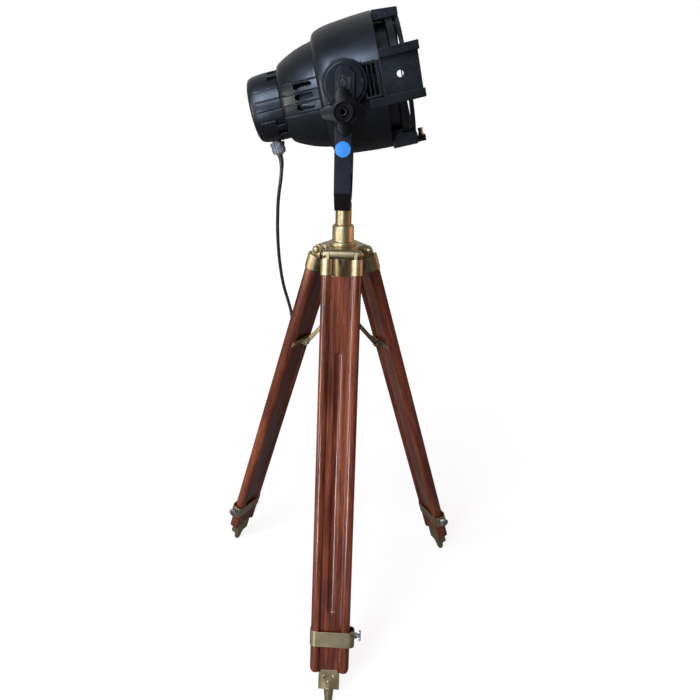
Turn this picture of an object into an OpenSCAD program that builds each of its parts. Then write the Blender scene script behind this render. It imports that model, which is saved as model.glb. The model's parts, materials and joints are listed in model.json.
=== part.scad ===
// Tripod spotlight floor lamp. A theatre-style lantern in a yoke stands on a wooden
// surveyor's tripod with brass fittings. +Z is up, the lantern aims towards +X and
// the front leg points to -Y. The legs stand spread on the floor at z = 0, and the
// origin is under the middle of the lamp's bounding box.

/* [Tripod] */
// Angle of each leg from the vertical
leg_angle = 18.3; // [17:0.1:19]
// Length from the hinge to the foot's tip
leg_len = 822; // [780:1:860]
// Distance of the leg hinges from the column's axis
hinge_r = 38; // [37:0.5:40]
// Distance of the tripod's axis behind the origin
axis_y = 65; // [55:1:80]
// Width of one wooden rail
rail_w = 19; // [18:0.5:20]
// Thickness of one wooden rail, with its round front and back
rail_d = 24; // [23:0.5:25]
// Distance between the middles of a leg's two rails
rail_pitch = 52; // [51:0.5:53]
// Thickness of the sliding plank
plank_d = 16; // [14:0.5:17]
// Depth of the groove that guides the plank's edge
groove_d = 1.8; // [1:0.1:2.5]
// Distance from the collar's upper edge to the foot's tip
collar_up = 143; // [137:1:162]
// Height of the collar band
collar_h = 28; // [22:1:30]
// Distance from the rails' lower ends to the foot's tip
rail_up = 65; // [62:1:72]

/* [Hub and column] */
// Width of each hub arm
arm_w = 43; // [42:0.5:44]
// Radius of the round end of each hub arm
barrel_r = 8.5; // [8:0.5:9]
// Radius of the leg hinge bolts
hinge_bolt_r = 5; // [4.5:0.1:5.5]
// Radius of the column's flange
flange_r = 24; // [22:0.5:26]
// Radius of the column's socket
socket_r = 19.5; // [18.5:0.5:21]
// Radius of the yoke's spigot
spigot_r = 14.3; // [13.8:0.1:14.8]
// Height of the column's socket above the hub
socket_h = 37; // [33:1:41]

/* [Yoke] */
// Height of the tilt axis above the yoke's bottom face
pivot_rise = 190.4; // [185:0.2:196]
// Gap between the hood and the yoke on each side
yoke_gap = 10; // [9:0.5:12]
// Width of the yoke's flat bar
strap_w = 26; // [24:0.5:28]
// Thickness of the yoke's flat bar
strap_t = 5; // [4:0.5:5]
// Height of the yoke's bottom face above the hub
yoke_rise = 75; // [71:1:79]
// Size of the slanted corners at the yoke's bottom
yoke_corner = 32; // [24:1:36]

/* [Lantern] */
// Angle by which the lantern's front is raised
tilt = 13.2; // [5:0.1:20]
// Distance of the lantern's axis below the tilt axis
axis_drop = 7.5; // [6:0.5:9]
// Radius of the rear cap
cap_r = 54; // [53:0.5:55]
// Radius of the hood at its front edge
hood_r = 104; // [103.5:0.5:104.5]
// Radius of the ring at the front
ring_r = 94; // [93:0.5:95]
// Radius of the front opening
front_r = 78; // [76:0.5:79]
// Wall thickness of the castings
wall = 3; // [2.5:0.5:3.5]
// Diameter of the safety hole in the near bracket
safety_d = 9.6; // [8:0.2:11]

/* [Cable] */
// Diameter of the mains cable
cable_d = 6.2; // [6:0.1:6.2]

/* [Hidden] */
$fn = 64;

brass = [0.55, 0.5, 0.3];
wood = [0.38, 0.13, 0.09];
black = [0.1, 0.1, 0.11];
steel = [0.7, 0.7, 0.7];

// Directions of the legs around the column, and the side of each leg's thumbscrew
front_az = -90;
left_az = 150;
right_az = 30;

// Clearances between pieces
slide_gap = 0.3; // between sliding or swinging faces
seat_gap = 0.1; // between faces that are seated on each other
turn_gap = 0.05; // radial, between a shaft and its bore

hinge_z = leg_len * cos(leg_angle);
hub_top = hinge_z + barrel_r;
hub_t = 11.5;
yoke_z = hub_top + yoke_rise;
pivot_z = yoke_z + pivot_rise;

// Leg fittings
// Stations down a leg, measured from its hinge
collar_s = leg_len - collar_up;
rail_end_s = leg_len - rail_up;
screw_s = collar_s + 10;
ferrule_s = 10;
ferrule_h = 28;
ferrule_wall = 1.9;
ear_t = 5.7;
shoe_h = 31;
flute_w = 15;
flute_top_s = 178;
flute_end_s = leg_len - 182;
screw_boss_r = 6;
thumb_stem_r = 4;
thumb_head_r = 8.8;
collar_wall = 1.5;
collar_out = 7; // by which the collar stands off the rail on the screw's side
collar_corner = 8;

// Folding stays. The fork end on the runner is the linkage's open pivot.
stay_s = 203;
stay_n = 22;
stay_pin_r = 2;
stay_t = 4;
fork_r = 20;
fork_pin_r = 1.5;
fork_hole_r = 5.7;
stay_low_r = hinge_r + stay_s * sin(leg_angle) - stay_n * cos(leg_angle);
stay_low_z = hinge_z - stay_s * cos(leg_angle) - stay_n * sin(leg_angle);
stay_slope = 49; // angle of a spread stay above the horizontal
stay_len = (stay_low_r - fork_r) / cos(stay_slope);
fork_z = stay_low_z + stay_len * sin(stay_slope);
rod_r = 5;
runner_h = 14;
boss_h = 46;

// Lantern stations along its axis, measured from the tilt axis
cap_back = -158;
cap_front = -106;
hood_back = -41.5;
hood_front = 57;
neck_r = 84;
ring_back = 75;
slot_back = 86.4;
slot_front = 90.4;
ring_front = 96.5;
lens_x = 58;
yoke_w = 2 * (hood_r + yoke_gap + strap_t);
disc_y = yoke_w / 2 - strap_t - slide_gap;
disc_r = 34;
pivot_bolt_r = 4;
knob_drop = 39; // distance of the tilt knob below the tilt axis
knob_core_r = 23;
knob_lobe = 12;
knob_stud_r = 4;
bracket_t = 2.5;
bracket_gap = 3.5; // between the hood and a bracket
bracket_y = hood_r + bracket_gap + bracket_t;
bracket_mid = -5;
lip_h = 12.5;
lip_d = 8;
safety_x = 82;
foot_x = 76.5; // rear side of the brackets' feet
block_w = 84;
block_top = ring_r - axis_drop + 2.5; // top block's front edge
block_rise = 3.6; // by which its rear edge stands higher
block_bottom = -ring_r - axis_drop - 10.5;
seat_r = front_r + 1; // recess for the lens
cap_low = -cap_r - axis_drop; // underside of the cap, measured from the tilt axis
gland_x = -134;
gland_end = -84; // where the cable leaves, measured from the tilt axis

// Cable route off the tripod's axis: free fall from the gland, then down the left leg's
// outer face to the floor. The first two joins are between the stretches.
cable_r = cable_d / 2;
upper_route = [
    [-111.3, 0, 941.8], [-109.2, 0, 932.9], [-108.9, 0.8, 921], [-111, 4, 901.5],
    [-115, 9.5, 880], [-118.5, 17, 856], [-120.5, 24, 832]
];
mid_route = [[-122, 31, 808], [-122.5, 40, 775], [-121.5, 47, 745], [-119, 53, 716], [-117, 55, 702]];
lower_route = [
    [-113.5, 57, 684], [-107, 58.5, 660], [-101.5, 58.5, 636],
    [-99.5, 58, 608], [-103.5, 59.8, 570], [-121.2, 70, 508.7], [-153.9, 88.8, 394.8],
    [-186.5, 107.7, 280.8], [-208.2, 120.2, 205], [-215.2, 124.2, 181], [-221.2, 127.7, 165],
    [-228.1, 131.7, 150], [-233, 134.6, 136], [-237.4, 137.1, 121], [-243.2, 140.6, 99],
    [-248.7, 144.8, 75], [-253.2, 149.3, 53], [-256.7, 155, 34], [-259.3, 163.5, 18.5],
    [-262, 177.5, 7.5], [-266, 199, 3.7], [-271.5, 221, 3.9], [-277, 242, 4.1], [-279.5, 256, 4.2],
    [-279.7, 264, 4.2]
];
cable_path = curve(concat(upper_route, mid_route, lower_route), 2);
mid_ring = 2 * (len(upper_route) - 1);
lower_ring = mid_ring + 2 * len(mid_route);

// Hank of cable on the floor: two turns, one on the other, drawn in by a tie
hank_x = -253;
hank_y = 310;
hank_run = 46; // half the length of the straight runs
hank_fold_r = 18.7;
hank_step = 8;
hank_layer = 7;
hank_base = 4.2;
hank_waist = 7;
hank_turns = 2;
turn_rings = 24;
tail_route = [
    [-26, -40, 11.6], [-24, -33, 13], [-19, -22, 16.5], [-11, -9, 20],
    [-3.5, 3, 21.4], [0, 12, 21.6], [0, 18.5, 21.6]
];

// ---------------------------------------------------------------- places

// The tripod's axis at floor level
module on_axis() {
    translate([0, axis_y, 0]) children();
}

// Leg frame: x points outwards through the leg, y across it and -z down along it
module leg_at(az) {
    on_axis() rotate([0, 0, az]) translate([hinge_r, 0, hinge_z])
        rotate([0, -leg_angle, 0]) children();
}

// Lantern frame: x along its axis to the front, origin on the tilt axis
module lantern() {
    on_axis() translate([0, 0, pivot_z]) rotate([0, -tilt, 0]) children();
}

// A turned shape whose profile is drawn as [radius, station] along the lantern's axis
module turned(profile) {
    translate([0, 0, -axis_drop]) rotate([0, 90, 0])
        rotate_extrude($fn = 96) polygon(profile);
}

module lantern_disc(r, x0, x1) {
    translate([x0, 0, -axis_drop]) rotate([0, 90, 0]) cylinder(r = r, h = x1 - x0, $fn = 96);
}

// A cylinder along y from y0 to y1
module cross_rod(r, y0, y1) {
    translate([0, y0, 0]) rotate([-90, 0, 0]) cylinder(r = r, h = y1 - y0);
}

// A box given by its two corners
module block(lo, hi) {
    translate(lo) cube(hi - lo);
}

// ---------------------------------------------------------------- swept tubes

function unit(v) = v / norm(v);

function tangent(path, i) =
    unit(path[min(i + 1, len(path) - 1)] - path[max(i - 1, 0)]);

function tube_ring(path, i, r, sides, ref) =
    let (t = tangent(path, i), a = unit(cross(ref, t)), b = cross(t, a))
    [for (k = [0 : sides - 1]) path[i] + r * (cos(360 * k / sides) * a + sin(360 * k / sides) * b)];

// Catmull-Rom curve through the points, with the given steps between two of them
function curve(p, steps) = [
    for (i = [0 : len(p) - 2]) for (k = [0 : steps - 1])
        let (
            a = p[max(i - 1, 0)], b = p[i], c = p[i + 1], d = p[min(i + 2, len(p) - 1)],
            u = k / steps
        )
        0.5 * (2 * b + (c - a) * u + (2 * a - 5 * b + 4 * c - d) * u * u
            + (3 * b - a - 3 * c + d) * u * u * u),
    p[len(p) - 1]
];

// Round tube along a path from ring i0 to ring i1, closed at both ends
module tube(path, i0, i1, r, sides, ref) {
    rings = i1 - i0 + 1;
    points = [for (i = [i0 : i1]) each tube_ring(path, i, r, sides, ref)];
    side_faces = [
        for (i = [0 : rings - 2]) for (k = [0 : sides - 1])
            let (a = i * sides + k, b = i * sides + (k + 1) % sides)
            each [[a, a + sides, b], [b, a + sides, b + sides]]
    ];
    first_cap = [for (k = [1 : sides - 2]) [0, k, k + 1]];
    last = (rings - 1) * sides;
    last_cap = [for (k = [1 : sides - 2]) [last, last + k + 1, last + k]];
    polyhedron(points, concat(side_faces, first_cap, last_cap));
}

// ---------------------------------------------------------------- hub and column

module hub() {
    color(brass) on_axis() difference() {
        union() {
            translate([0, 0, hub_top - hub_t]) cylinder(r = 31, h = hub_t);
            for (az = [front_az, left_az, right_az]) rotate([0, 0, az]) {
                block([0, -arm_w / 2, hub_top - hub_t], [hinge_r, arm_w / 2, hub_top]);
                translate([hinge_r, 0, hinge_z]) cross_rod(barrel_r, -arm_w / 2, arm_w / 2);
            }
            translate([0, 0, hub_top - hub_t - boss_h])
                cylinder(r1 = 17.5, r2 = 19.5, h = boss_h);
        }
        for (az = [front_az, left_az, right_az]) rotate([0, 0, az])
            translate([hinge_r, 0, hinge_z]) cross_rod(hinge_bolt_r + turn_gap, -arm_w, arm_w);
        translate([0, 0, hub_top - hub_t - boss_h - 1]) cylinder(r = rod_r, h = 31);
    }
}

module column_socket() {
    color(brass) on_axis() translate([0, 0, hub_top]) difference() {
        rotate_extrude() polygon([
            [0, 0], [flange_r, 0], [flange_r, 6], [flange_r - 1.5, 8], [socket_r + 0.8, 8],
            [socket_r, 10], [socket_r, socket_h - 4], [socket_r - 1.2, socket_h - 1.2],
            [socket_r - 4, socket_h], [0, socket_h]
        ]);
        translate([0, 0, 8]) cylinder(r = spigot_r + turn_gap, h = socket_h);
    }
}

module centre_rod() {
    top = hub_top - hub_t - boss_h + 30 - 1;
    low = fork_z - runner_h / 2 - 8;
    color(brass) on_axis() {
        translate([0, 0, low]) cylinder(r = rod_r, h = top - low);
        translate([0, 0, low]) cylinder(r = 8, h = 8 - slide_gap);
    }
}

// ---------------------------------------------------------------- yoke

// The yoke's outline across the lantern, drawn inwards from its outer face by t
module yoke_outline(t) {
    half = yoke_w / 2 - t;
    corner = yoke_corner - t * (2 - sqrt(2));
    top = pivot_z + 23 + t;
    low = yoke_z + t;
    polygon([
        [half, top], [half, low + corner], [half - corner, low],
        [corner - half, low], [-half, low + corner], [-half, top]
    ]);
}

module yoke() {
    chamfer = 7;
    top = pivot_z + 23;
    color(black) on_axis() difference() {
        union() {
            rotate([90, 0, 90]) translate([0, 0, -strap_w / 2]) linear_extrude(strap_w)
                difference() {
                    yoke_outline(0);
                    yoke_outline(strap_t);
                }
            // Upright lip beside the near strap's top end
            block([strap_w / 2 - 1, -yoke_w / 2, pivot_z - 24],
                [strap_w / 2 + 2.5, -yoke_w / 2 + 3, pivot_z + 15]);
        }
        translate([0, -yoke_w, pivot_z])
            cross_rod(pivot_bolt_r + turn_gap, 0, 2 * yoke_w);
        translate([0, -yoke_w, pivot_z - knob_drop])
            cross_rod(knob_stud_r + turn_gap, 0, yoke_w);
        translate([0, 0, yoke_z - 1]) cylinder(r = 5, h = strap_t + 2);
        for (side = [-1, 1]) translate([side * strap_w / 2, 0, top])
            rotate([0, 45, 0]) cube([chamfer * sqrt(2), 2 * yoke_w, chamfer * sqrt(2)], center = true);
    }
}

module spigot() {
    low = hub_top + 8 + slide_gap;
    color(brass) on_axis() difference() {
        translate([0, 0, low]) cylinder(r = spigot_r, h = yoke_z - low);
        translate([0, 0, yoke_z - 24]) cylinder(r = 5, h = 25);
    }
}

module yoke_bolt() {
    color(steel) on_axis() {
        translate([0, 0, yoke_z - 24]) cylinder(r = 5, h = 24 + strap_t);
        translate([0, 0, yoke_z + strap_t]) cylinder(r = 10.5, h = 2);
        translate([0, 0, yoke_z + strap_t + 2]) cylinder(r = 9.2, h = 6.5, $fn = 6);
    }
}

module round_label() {
    color("dodgerblue") on_axis() translate([0, 0, yoke_z + 98])
        cross_rod(11.8, -yoke_w / 2 - 0.5, -yoke_w / 2);
}

// ---------------------------------------------------------------- lantern castings

// The hood's outer profile from its rear edge to its front edge
hood_profile = curve([
    [hood_r - 18, hood_back], [hood_r - 12.3, -38.5], [hood_r - 9, -33], [hood_r - 6, -23],
    [hood_r - 4, -10], [hood_r - 2.8, 5], [hood_r - 1.3, 25], [hood_r - 0.4, 44], [hood_r, hood_front]
], 2);
function inset(profile, t) = [for (p = profile) [p[0] - t, p[1]]];
// The hood's inside, t from its outer face and from its front face
function hood_inside(t) = [
    for (p = hood_profile) [p[0] - t, min(p[1], hood_front - t)]
];
function backwards(list) = [for (i = [len(list) - 1 : -1 : 0]) list[i]];

module hood() {
    color(black) lantern() difference() {
        union() {
            turned(concat(
                hood_profile, [[neck_r, hood_front], [neck_r, ring_back],
                [seat_r, ring_back], [seat_r, hood_front - 6]],
                backwards(hood_inside(wall))
            ));
            for (side = [-1, 1]) {
                // Round boss that carries the tilt bolt, with a lower rim for the brake pad
                cross_rod_between(disc_r, side, disc_y - 22, disc_y - 4.6);
                cross_rod_between(disc_r - 5, side, disc_y - 22, disc_y);
            }
            for (side = [-1, 1]) scale([1, side, 1])
                block([27, -hood_r, -30], [54, 10 - hood_r, 21]);
        }
        lantern_disc(seat_r, hood_front - 6, ring_back + 1);
        turned(concat([[0, hood_back - 1]], hood_inside(wall + 0.4),
            [[seat_r, hood_front - 6.6], [0, hood_front - 6.6]]));
        for (side = [-1, 1]) cross_rod_between(pivot_bolt_r, side, disc_y - 23, disc_y + 1);
        for (side = [-1, 1], x = [31 : 6.6 : 50]) scale([1, side, 1])
            block([x, -hood_r - 2, -26], [x + 3.6, 15 - hood_r, 17]);
    }
}

// A cylinder along y on one side of the lantern, from y0 to y1 off its middle
module cross_rod_between(r, side, y0, y1) {
    scale([1, side, 1]) cross_rod(r, -y1, -y0);
}

shell_profile = [
    [cap_r + 3, cap_front + 0.5], [61.5, -102], [65.5, -95], [69.5, -86.5], [73, -78], [75.8, -70.5],
    [78, -63], [80.2, -54.5], [81.8, -46.5], [83, hood_back - 0.5], [83, hood_back + 4]
];

// Grooves and slots of the ribbed band on both sides of a casting
module side_grooves(x0, x1, r0, r1) {
    for (side = [-1, 1], k = [0 : 3]) scale([1, side, 1])
        groove_cut(x0, x1, r0, r1, 18.5 - 15.5 * k);
}

// One groove, cut 1.6 deep along a wall that runs from radius r0 to radius r1
module groove_cut(x0, x1, r0, r1, z) {
    rise = z + axis_drop;
    y0 = sqrt(r0 * r0 - rise * rise);
    y1 = sqrt(r1 * r1 - rise * rise);
    translate([0, 0, z - 1]) linear_extrude(2)
        polygon([[x0, 1.6 - y0], [x1, 1.6 - y1], [x1, -y1 - 9], [x0, -y0 - 9]]);
}

module body_shell() {
    color(black) lantern() difference() {
        turned(concat([[sleeve_r + seat_gap, cap_front + 0.5]], shell_profile,
            [[83 - wall, hood_back + 4]], backwards(inset(shell_profile, wall + 0.5)),
            [[sleeve_r + seat_gap, cap_front + 4]]));
        side_grooves(-107, -76, 58.6, 73.7);
        side_grooves(-76, -40, 73.7, 83.6);
        for (side = [-1, 1], k = [0 : 2]) scale([1, side, 1])
            translate([0, 0, 12 - 15.4 * k]) for (x = [-76.5, -54.5]) {
                translate([x, 0, 0]) cross_rod(3.7, -90, -40);
                block([-76.5, -90, -3.7], [-54.5, -40, 3.7]);
            }
    }
}

sleeve_r = cap_r - 4; // sleeve that joins the cap to the body
cap_profile = concat(curve([
    [cap_r - 9, cap_back], [cap_r - 5.5, cap_back + 1.5], [cap_r - 3.2, cap_back + 5],
    [cap_r - 1.4, cap_back + 12], [cap_r - 0.4, cap_back + 22], [cap_r, cap_back + 30]
], 2), [[cap_r, cap_front]]);

module rear_cap() {
    color(black) lantern() difference() {
        turned(concat([[0, cap_back]], cap_profile, [[0, cap_front]]));
        turned([[0, cap_back + wall], [cap_r - 10, cap_back + wall], [sleeve_r + seat_gap, cap_back + 14],
            [sleeve_r + seat_gap, cap_front + 1], [0, cap_front + 1]]);
        side_grooves(-146, cap_front + 1, cap_r - 0.4, cap_r);
        // Four vent windows in the front edge, round the cap
        for (a = [33, 114, 213, 294]) translate([0, 0, -axis_drop]) rotate([a, 0, 0])
            cap_window(33);
        // Seat for the cable gland under the cap
        translate([gland_x, 0, cap_low - 8.5]) cylinder(r = 8, h = 20);
    }
}

// A window through the cap's wall that spans the given angle from the horizontal
module cap_window(span) {
    for (a = [0, span - 12]) rotate([a, 0, 0])
        translate([-121, 0, 0]) rotate([90, 0, 0]) linear_extrude(70)
            polygon([[0, 0], [20, 0], [20, 11], [0, 11]]);
}

// Sleeve that joins the cap to the body and widens to a light shield behind the vents
module inner_sleeve() {
    t = 1.5;
    outer = [
        [sleeve_r, cap_front - 20], [sleeve_r, cap_front + 13], [62, -79], [68, -50],
        [front_r - 3, 0], [front_r - 2, hood_front - 8]
    ];
    color(black) lantern() turned(concat(outer, backwards(inset(outer, t))));
}

module front_ring() {
    color(black) lantern() difference() {
        union() {
            turned([[front_r, ring_back + seat_gap], [ring_r - 1.5, ring_back + seat_gap],
                [ring_r, ring_back + 1.5], [ring_r, ring_front - 1.5], [ring_r - 1.5, ring_front],
                [front_r, ring_front]]);
            // Lower block that also closes the colour-frame slot
            difference() {
                block([hood_front + seat_gap, -block_w / 2, block_bottom],
                    [ring_front, block_w / 2, 14 - ring_r]);
                lantern_disc(neck_r + 3, hood_front - 1, ring_back + seat_gap);
                lantern_disc(ring_r - 1, ring_back, ring_front + 1);
            }
        }
        // Colour-frame slot, open at both sides and at the top
        block([slot_back, -ring_r - 5, 8 - ring_r], [slot_front, ring_r + 5, ring_r + 5]);
        // Side windows behind the brackets
        block([77, -ring_r - 5, -14], [ring_front - 1.5, ring_r + 5, 7]);
    }
}

module top_block() {
    color(black) lantern() difference() {
        translate([0, block_w / 2, 0]) rotate([90, 0, 0]) linear_extrude(block_w) polygon([
            [hood_front + seat_gap, ring_r - 34], [ring_front, ring_r - 34],
            [ring_front, block_top], [hood_front + seat_gap, block_top + block_rise]
        ]);
        lantern_disc(neck_r + 2.5, hood_front - 1, ring_back + 0.5);
        lantern_disc(ring_r + seat_gap, ring_back - 1, ring_front + 1);
        block([slot_back, -block_w / 2 + 3, ring_r - 44], [slot_front, block_w / 2 - 3, ring_r + 6]);
        block([hood_front - 1, -block_w, ring_r - 44], [ring_back, block_w, neck_r - axis_drop]);
    }
}

module lens() {
    color([0.85, 0.9, 0.95, 0.4]) lantern() turned([
        [0, lens_x], [front_r, lens_x], [front_r, lens_x + 5], [front_r - 18, lens_x + 9],
        [front_r - 43, lens_x + 12.5], [0, lens_x + 14]
    ]);
}

module lens_clamp() {
    inner = front_r - 5;
    outer = seat_r - seat_gap;
    color(black) lantern() turned([
        [inner, lens_x + 7], [outer, lens_x + 5.2], [outer, lens_x + 9.5], [inner, lens_x + 9.5]
    ]);
}

module reflector() {
    color(steel) lantern() turned([
        [15.1, -96], [24, -95], [36, -88], [46, -77], [52, -64], [54, -56], [52.5, -56],
        [50.6, -63.5], [44.8, -76], [35.2, -86.7], [23.6, -93.5], [15.1, -94.5]
    ]);
}

module lamp_holder() {
    color("white") lantern() turned([
        [0, cap_back + wall], [26, cap_back + wall], [26, cap_back + wall + 4], [15, cap_back + wall + 6],
        [15, -78], [8, -78], [8, -90], [0, -90]
    ]);
}

module lamp() {
    color([0.95, 0.95, 0.9, 0.5]) lantern() turned([
        [0, -89.9], [7.9, -89.9], [7.9, -72], [9, -68], [9, -34], [7, -29], [3, -26], [0, -25.5]
    ]);
}

// ---------------------------------------------------------------- lantern fittings

// Channel with two lips that takes slide-in accessories, for the side at -y, with its feet
// on the ring
module bracket() {
    low = bracket_mid - 26;
    high = bracket_mid + 26;
    inner = bracket_t - bracket_y;
    difference() {
        union() {
            block([55, -bracket_y, bracket_mid - 38], [112, inner, bracket_mid + 38]);
            block([55, -bracket_y - lip_d, high], [114, -bracket_y, high + lip_h]);
            block([31, -bracket_y - lip_d, low - lip_h], [114, -bracket_y, low]);
            block([31, -bracket_y, low - lip_h], [55, inner, low]);
            for (z = [bracket_mid + 14, bracket_mid - 24]) translate([foot_x, 0, 0])
                rotate([90, 0, 90]) linear_extrude(9) polygon([
                    [inner - 1, z], [ring_side(z), z], [ring_side(z + 10), z + 10], [inner - 1, z + 10]
                ]);
        }
        children();
    }
}

// Where the ring's outside is at height z, just clear of it
function ring_side(z) = -sqrt(pow(ring_r, 2) - pow(z + axis_drop, 2)) - 2.5 * seat_gap;

// A hole with round ends through a bracket's plate, from station x0 to station x1
module bracket_hole(r, x0, x1, z) {
    for (x = [x0, x1]) translate([x, 0, z]) cross_rod(r, -bracket_y - 1, 4 - bracket_y);
    if (x1 > x0) block([x0, -bracket_y - 1, z - r], [x1, 4 - bracket_y, z + r]);
}

module bracket_near() {
    color(black) lantern() bracket() translate([safety_x, 0, bracket_mid])
        cross_rod(safety_d / 2, -bracket_y - 1, 4 - bracket_y);
}

module bracket_far() {
    color(black) lantern() scale([1, -1, 1]) bracket()
        bracket_hole(7.5, safety_x + 3.5, safety_x + 14.5, bracket_mid + 3);
}

module pivot_screws() {
    color(steel) lantern() for (side = [-1, 1]) {
        cross_rod_between(pivot_bolt_r, side, disc_y - 21, yoke_w / 2 + 1);
        cross_rod_between(11, side, yoke_w / 2 + slide_gap, yoke_w / 2 + 1.3);
        cross_rod_between(5.4, side, yoke_w / 2 + 1.3, yoke_w / 2 + 2.6);
    }
}

module front_catch() {
    color(black) lantern() difference() {
        union() {
            block([ring_front, -18, block_bottom], [ring_front + 2.5, 18, -ring_r - 2]);
            block([ring_front, -18, block_bottom], [112, 18, -ring_r - 8.5]);
        }
        translate([105.5, -6, block_bottom - 8]) cylinder(r = 2.5 + turn_gap, h = 30);
    }
}

module catch_plunger() {
    color("gold") lantern() translate([105.5, -6, 0]) {
        translate([0, 0, block_bottom + 1]) cylinder(r = 2.5, h = 18);
        translate([0, 0, -ring_r - 8.2]) cylinder(r = 4.2, h = 4);
        translate([0, 0, -ring_r - 4.2]) cylinder(r1 = 3.4, r2 = 4.6, h = 7);
    }
}

module gland() {
    dome_top = cap_low - 10.5;
    color([0.3, 0.3, 0.32]) lantern() translate([gland_x, 0, 0]) difference() {
        union() {
            translate([0, 0, cap_low - 2.5]) cylinder(r = 7.9, h = 12);
            translate([0, 0, cap_low - 7.5]) cylinder(r = 12.8, h = 6, $fn = 6);
            translate([0, 0, dome_top]) cylinder(r = 11.4, h = 3);
            translate([0, 0, gland_end + 3])
                cylinder(r1 = 10.6, r2 = 12, h = dome_top - gland_end - 3);
            translate([0, 0, gland_end]) cylinder(r1 = 5.4, r2 = 6.6, h = 3);
        }
        translate([0, 0, cap_low + 8.5]) cylinder(r = cable_r, h = 2);
    }
}

// Four-lobed knob, with its stud and the pad that presses on the boss's rim
module tilt_knob() {
    face = yoke_w / 2;
    color(black) on_axis() translate([0, 0, pivot_z - knob_drop]) {
        translate([0, -face - 3.2, 0]) rotate([90, 0, 0]) linear_extrude(10.8)
            polygon([for (a = [0 : 5 : 355])
                (knob_core_r + knob_lobe * pow(abs(cos(2 * a)), 3)) * [cos(a), sin(a)]]);
        cross_rod_between(12.5, 1, face + slide_gap, face + 3.3);
        cross_rod_between(14.5, 1, face + 14, face + 17);
        cross_rod_between(6, 1, face + 17, face + 19);
        cross_rod_between(knob_stud_r, 1, disc_y - 3.9, face + 3);
        translate([0, slide_gap - disc_y + 0.3, 0]) cross_rod(9, 0, 3);
    }
}

// ---------------------------------------------------------------- legs

// Outline of one rail seen along the leg, grown by g
module rail_outline(side, g) {
    r = rail_w / 2;
    for (e = [-1, 1]) translate([e * (rail_d / 2 - r), side * rail_pitch / 2]) circle(r = r + g);
    translate([0, side * rail_pitch / 2])
        square([rail_d - 2 * r, rail_w + 2 * g], center = true);
}

// A straight bar down the leg from station s0 to station s1
module along_leg(s0, s1) {
    translate([0, 0, -s1]) linear_extrude(s1 - s0) children();
}

module rails() {
    groove_w = plank_d + 2 * slide_gap;
    inner = rail_pitch / 2 - rail_w / 2 + groove_d;
    color(wood) difference() {
        along_leg(ferrule_s + 2, rail_end_s) for (side = [-1, 1]) rail_outline(side, 0);
        block([-groove_w / 2, -inner, -leg_len], [groove_w / 2, inner, 0]);
        // Rounded lower outer corners
        for (side = [-1, 1]) scale([1, side, 1]) difference() {
            block([-20, 27.5, -rail_end_s - 1], [20, 40, -rail_end_s + 8]);
            translate([-21, 27.5, -rail_end_s + 8]) rotate([0, 90, 0]) cylinder(r = 8, h = 42);
        }
    }
}

module ferrules() {
    ear_y = arm_w / 2 + slide_gap;
    low = ferrule_s + ferrule_h;
    color(brass) for (side = [-1, 1]) difference() {
        union() {
            along_leg(ferrule_s, low) rail_outline(side, ferrule_wall);
            scale([1, side, 1]) {
                cross_rod(barrel_r, ear_y, ear_y + ear_t);
                block([-barrel_r, ear_y, -ferrule_s - 1], [barrel_r, ear_y + ear_t, 0]);
            }
        }
        along_leg(ferrule_s + 2, low + 1) rail_outline(side, 0);
        scale([1, side, 1]) cross_rod(hinge_bolt_r, ear_y - 1, ear_y + ear_t + 1);
    }
}

module hinge_bolt() {
    reach = arm_w / 2 + slide_gap + ear_t;
    color(brass) {
        cross_rod(hinge_bolt_r, -reach, reach);
        for (side = [-1, 1]) scale([1, side, 1]) translate([0, reach, 0]) rotate([-90, 0, 0])
            rotate_extrude() polygon([
                [0, 0], [7, 0], [7, 2.5], [6.4, 5], [5, 6.8], [2.8, 8], [0, 8.4]
            ]);
    }
}

// Outline of the collar seen along the leg, grown by g
module collar_outline(side, g) {
    half = rail_d / 2;
    reach = rail_pitch / 2 + rail_w / 2 + collar_out;
    rail_outline(-side, g);
    scale([1, side]) {
        translate([-half - g, -rail_pitch / 2])
            square([rail_d + 2 * g, rail_pitch / 2 + reach - collar_corner]);
        translate([collar_corner - half, 0]) square([rail_d - 2 * collar_corner, reach + g]);
        for (e = [-1, 1]) translate([e * (half - collar_corner), reach - collar_corner])
            circle(r = collar_corner + g);
    }
}

module collar(side) {
    half_t = rail_pitch / 2 + rail_w / 2;
    color(brass) difference() {
        union() {
            difference() {
                along_leg(collar_s, collar_s + collar_h) collar_outline(side, collar_wall + seat_gap);
                along_leg(collar_s - 1, collar_s + collar_h + 1) collar_outline(side, seat_gap);
            }
            // Nut inside the band for the screw
            translate([0, 0, -screw_s])
                cross_rod_side(screw_boss_r, side, half_t + 2, half_t + collar_out + collar_wall);
        }
        translate([0, 0, -screw_s])
            cross_rod_side(thumb_stem_r + turn_gap, side, half_t - 5, half_t + collar_out + 5);
    }
}

// A cylinder across the leg on the given side, from y0 to y1
module cross_rod_side(r, side, y0, y1) {
    scale([1, side, 1]) cross_rod(r, y0, y1);
}

// Screw that clamps the plank: its stem ends just short of the rail
module thumbscrew(side) {
    half_t = rail_pitch / 2 + rail_w / 2;
    color(steel) translate([0, 0, -screw_s]) {
        cross_rod_side(thumb_stem_r, side, half_t + 0.3, half_t + 9);
        scale([1, side, 1]) translate([0, half_t + 9, 0]) rotate([-90, 0, 0])
            cylinder(r1 = 5.8, r2 = 2.8, h = 7);
        cross_rod_side(thumb_head_r, side, half_t + 15.9, half_t + 20);
    }
}

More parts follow.
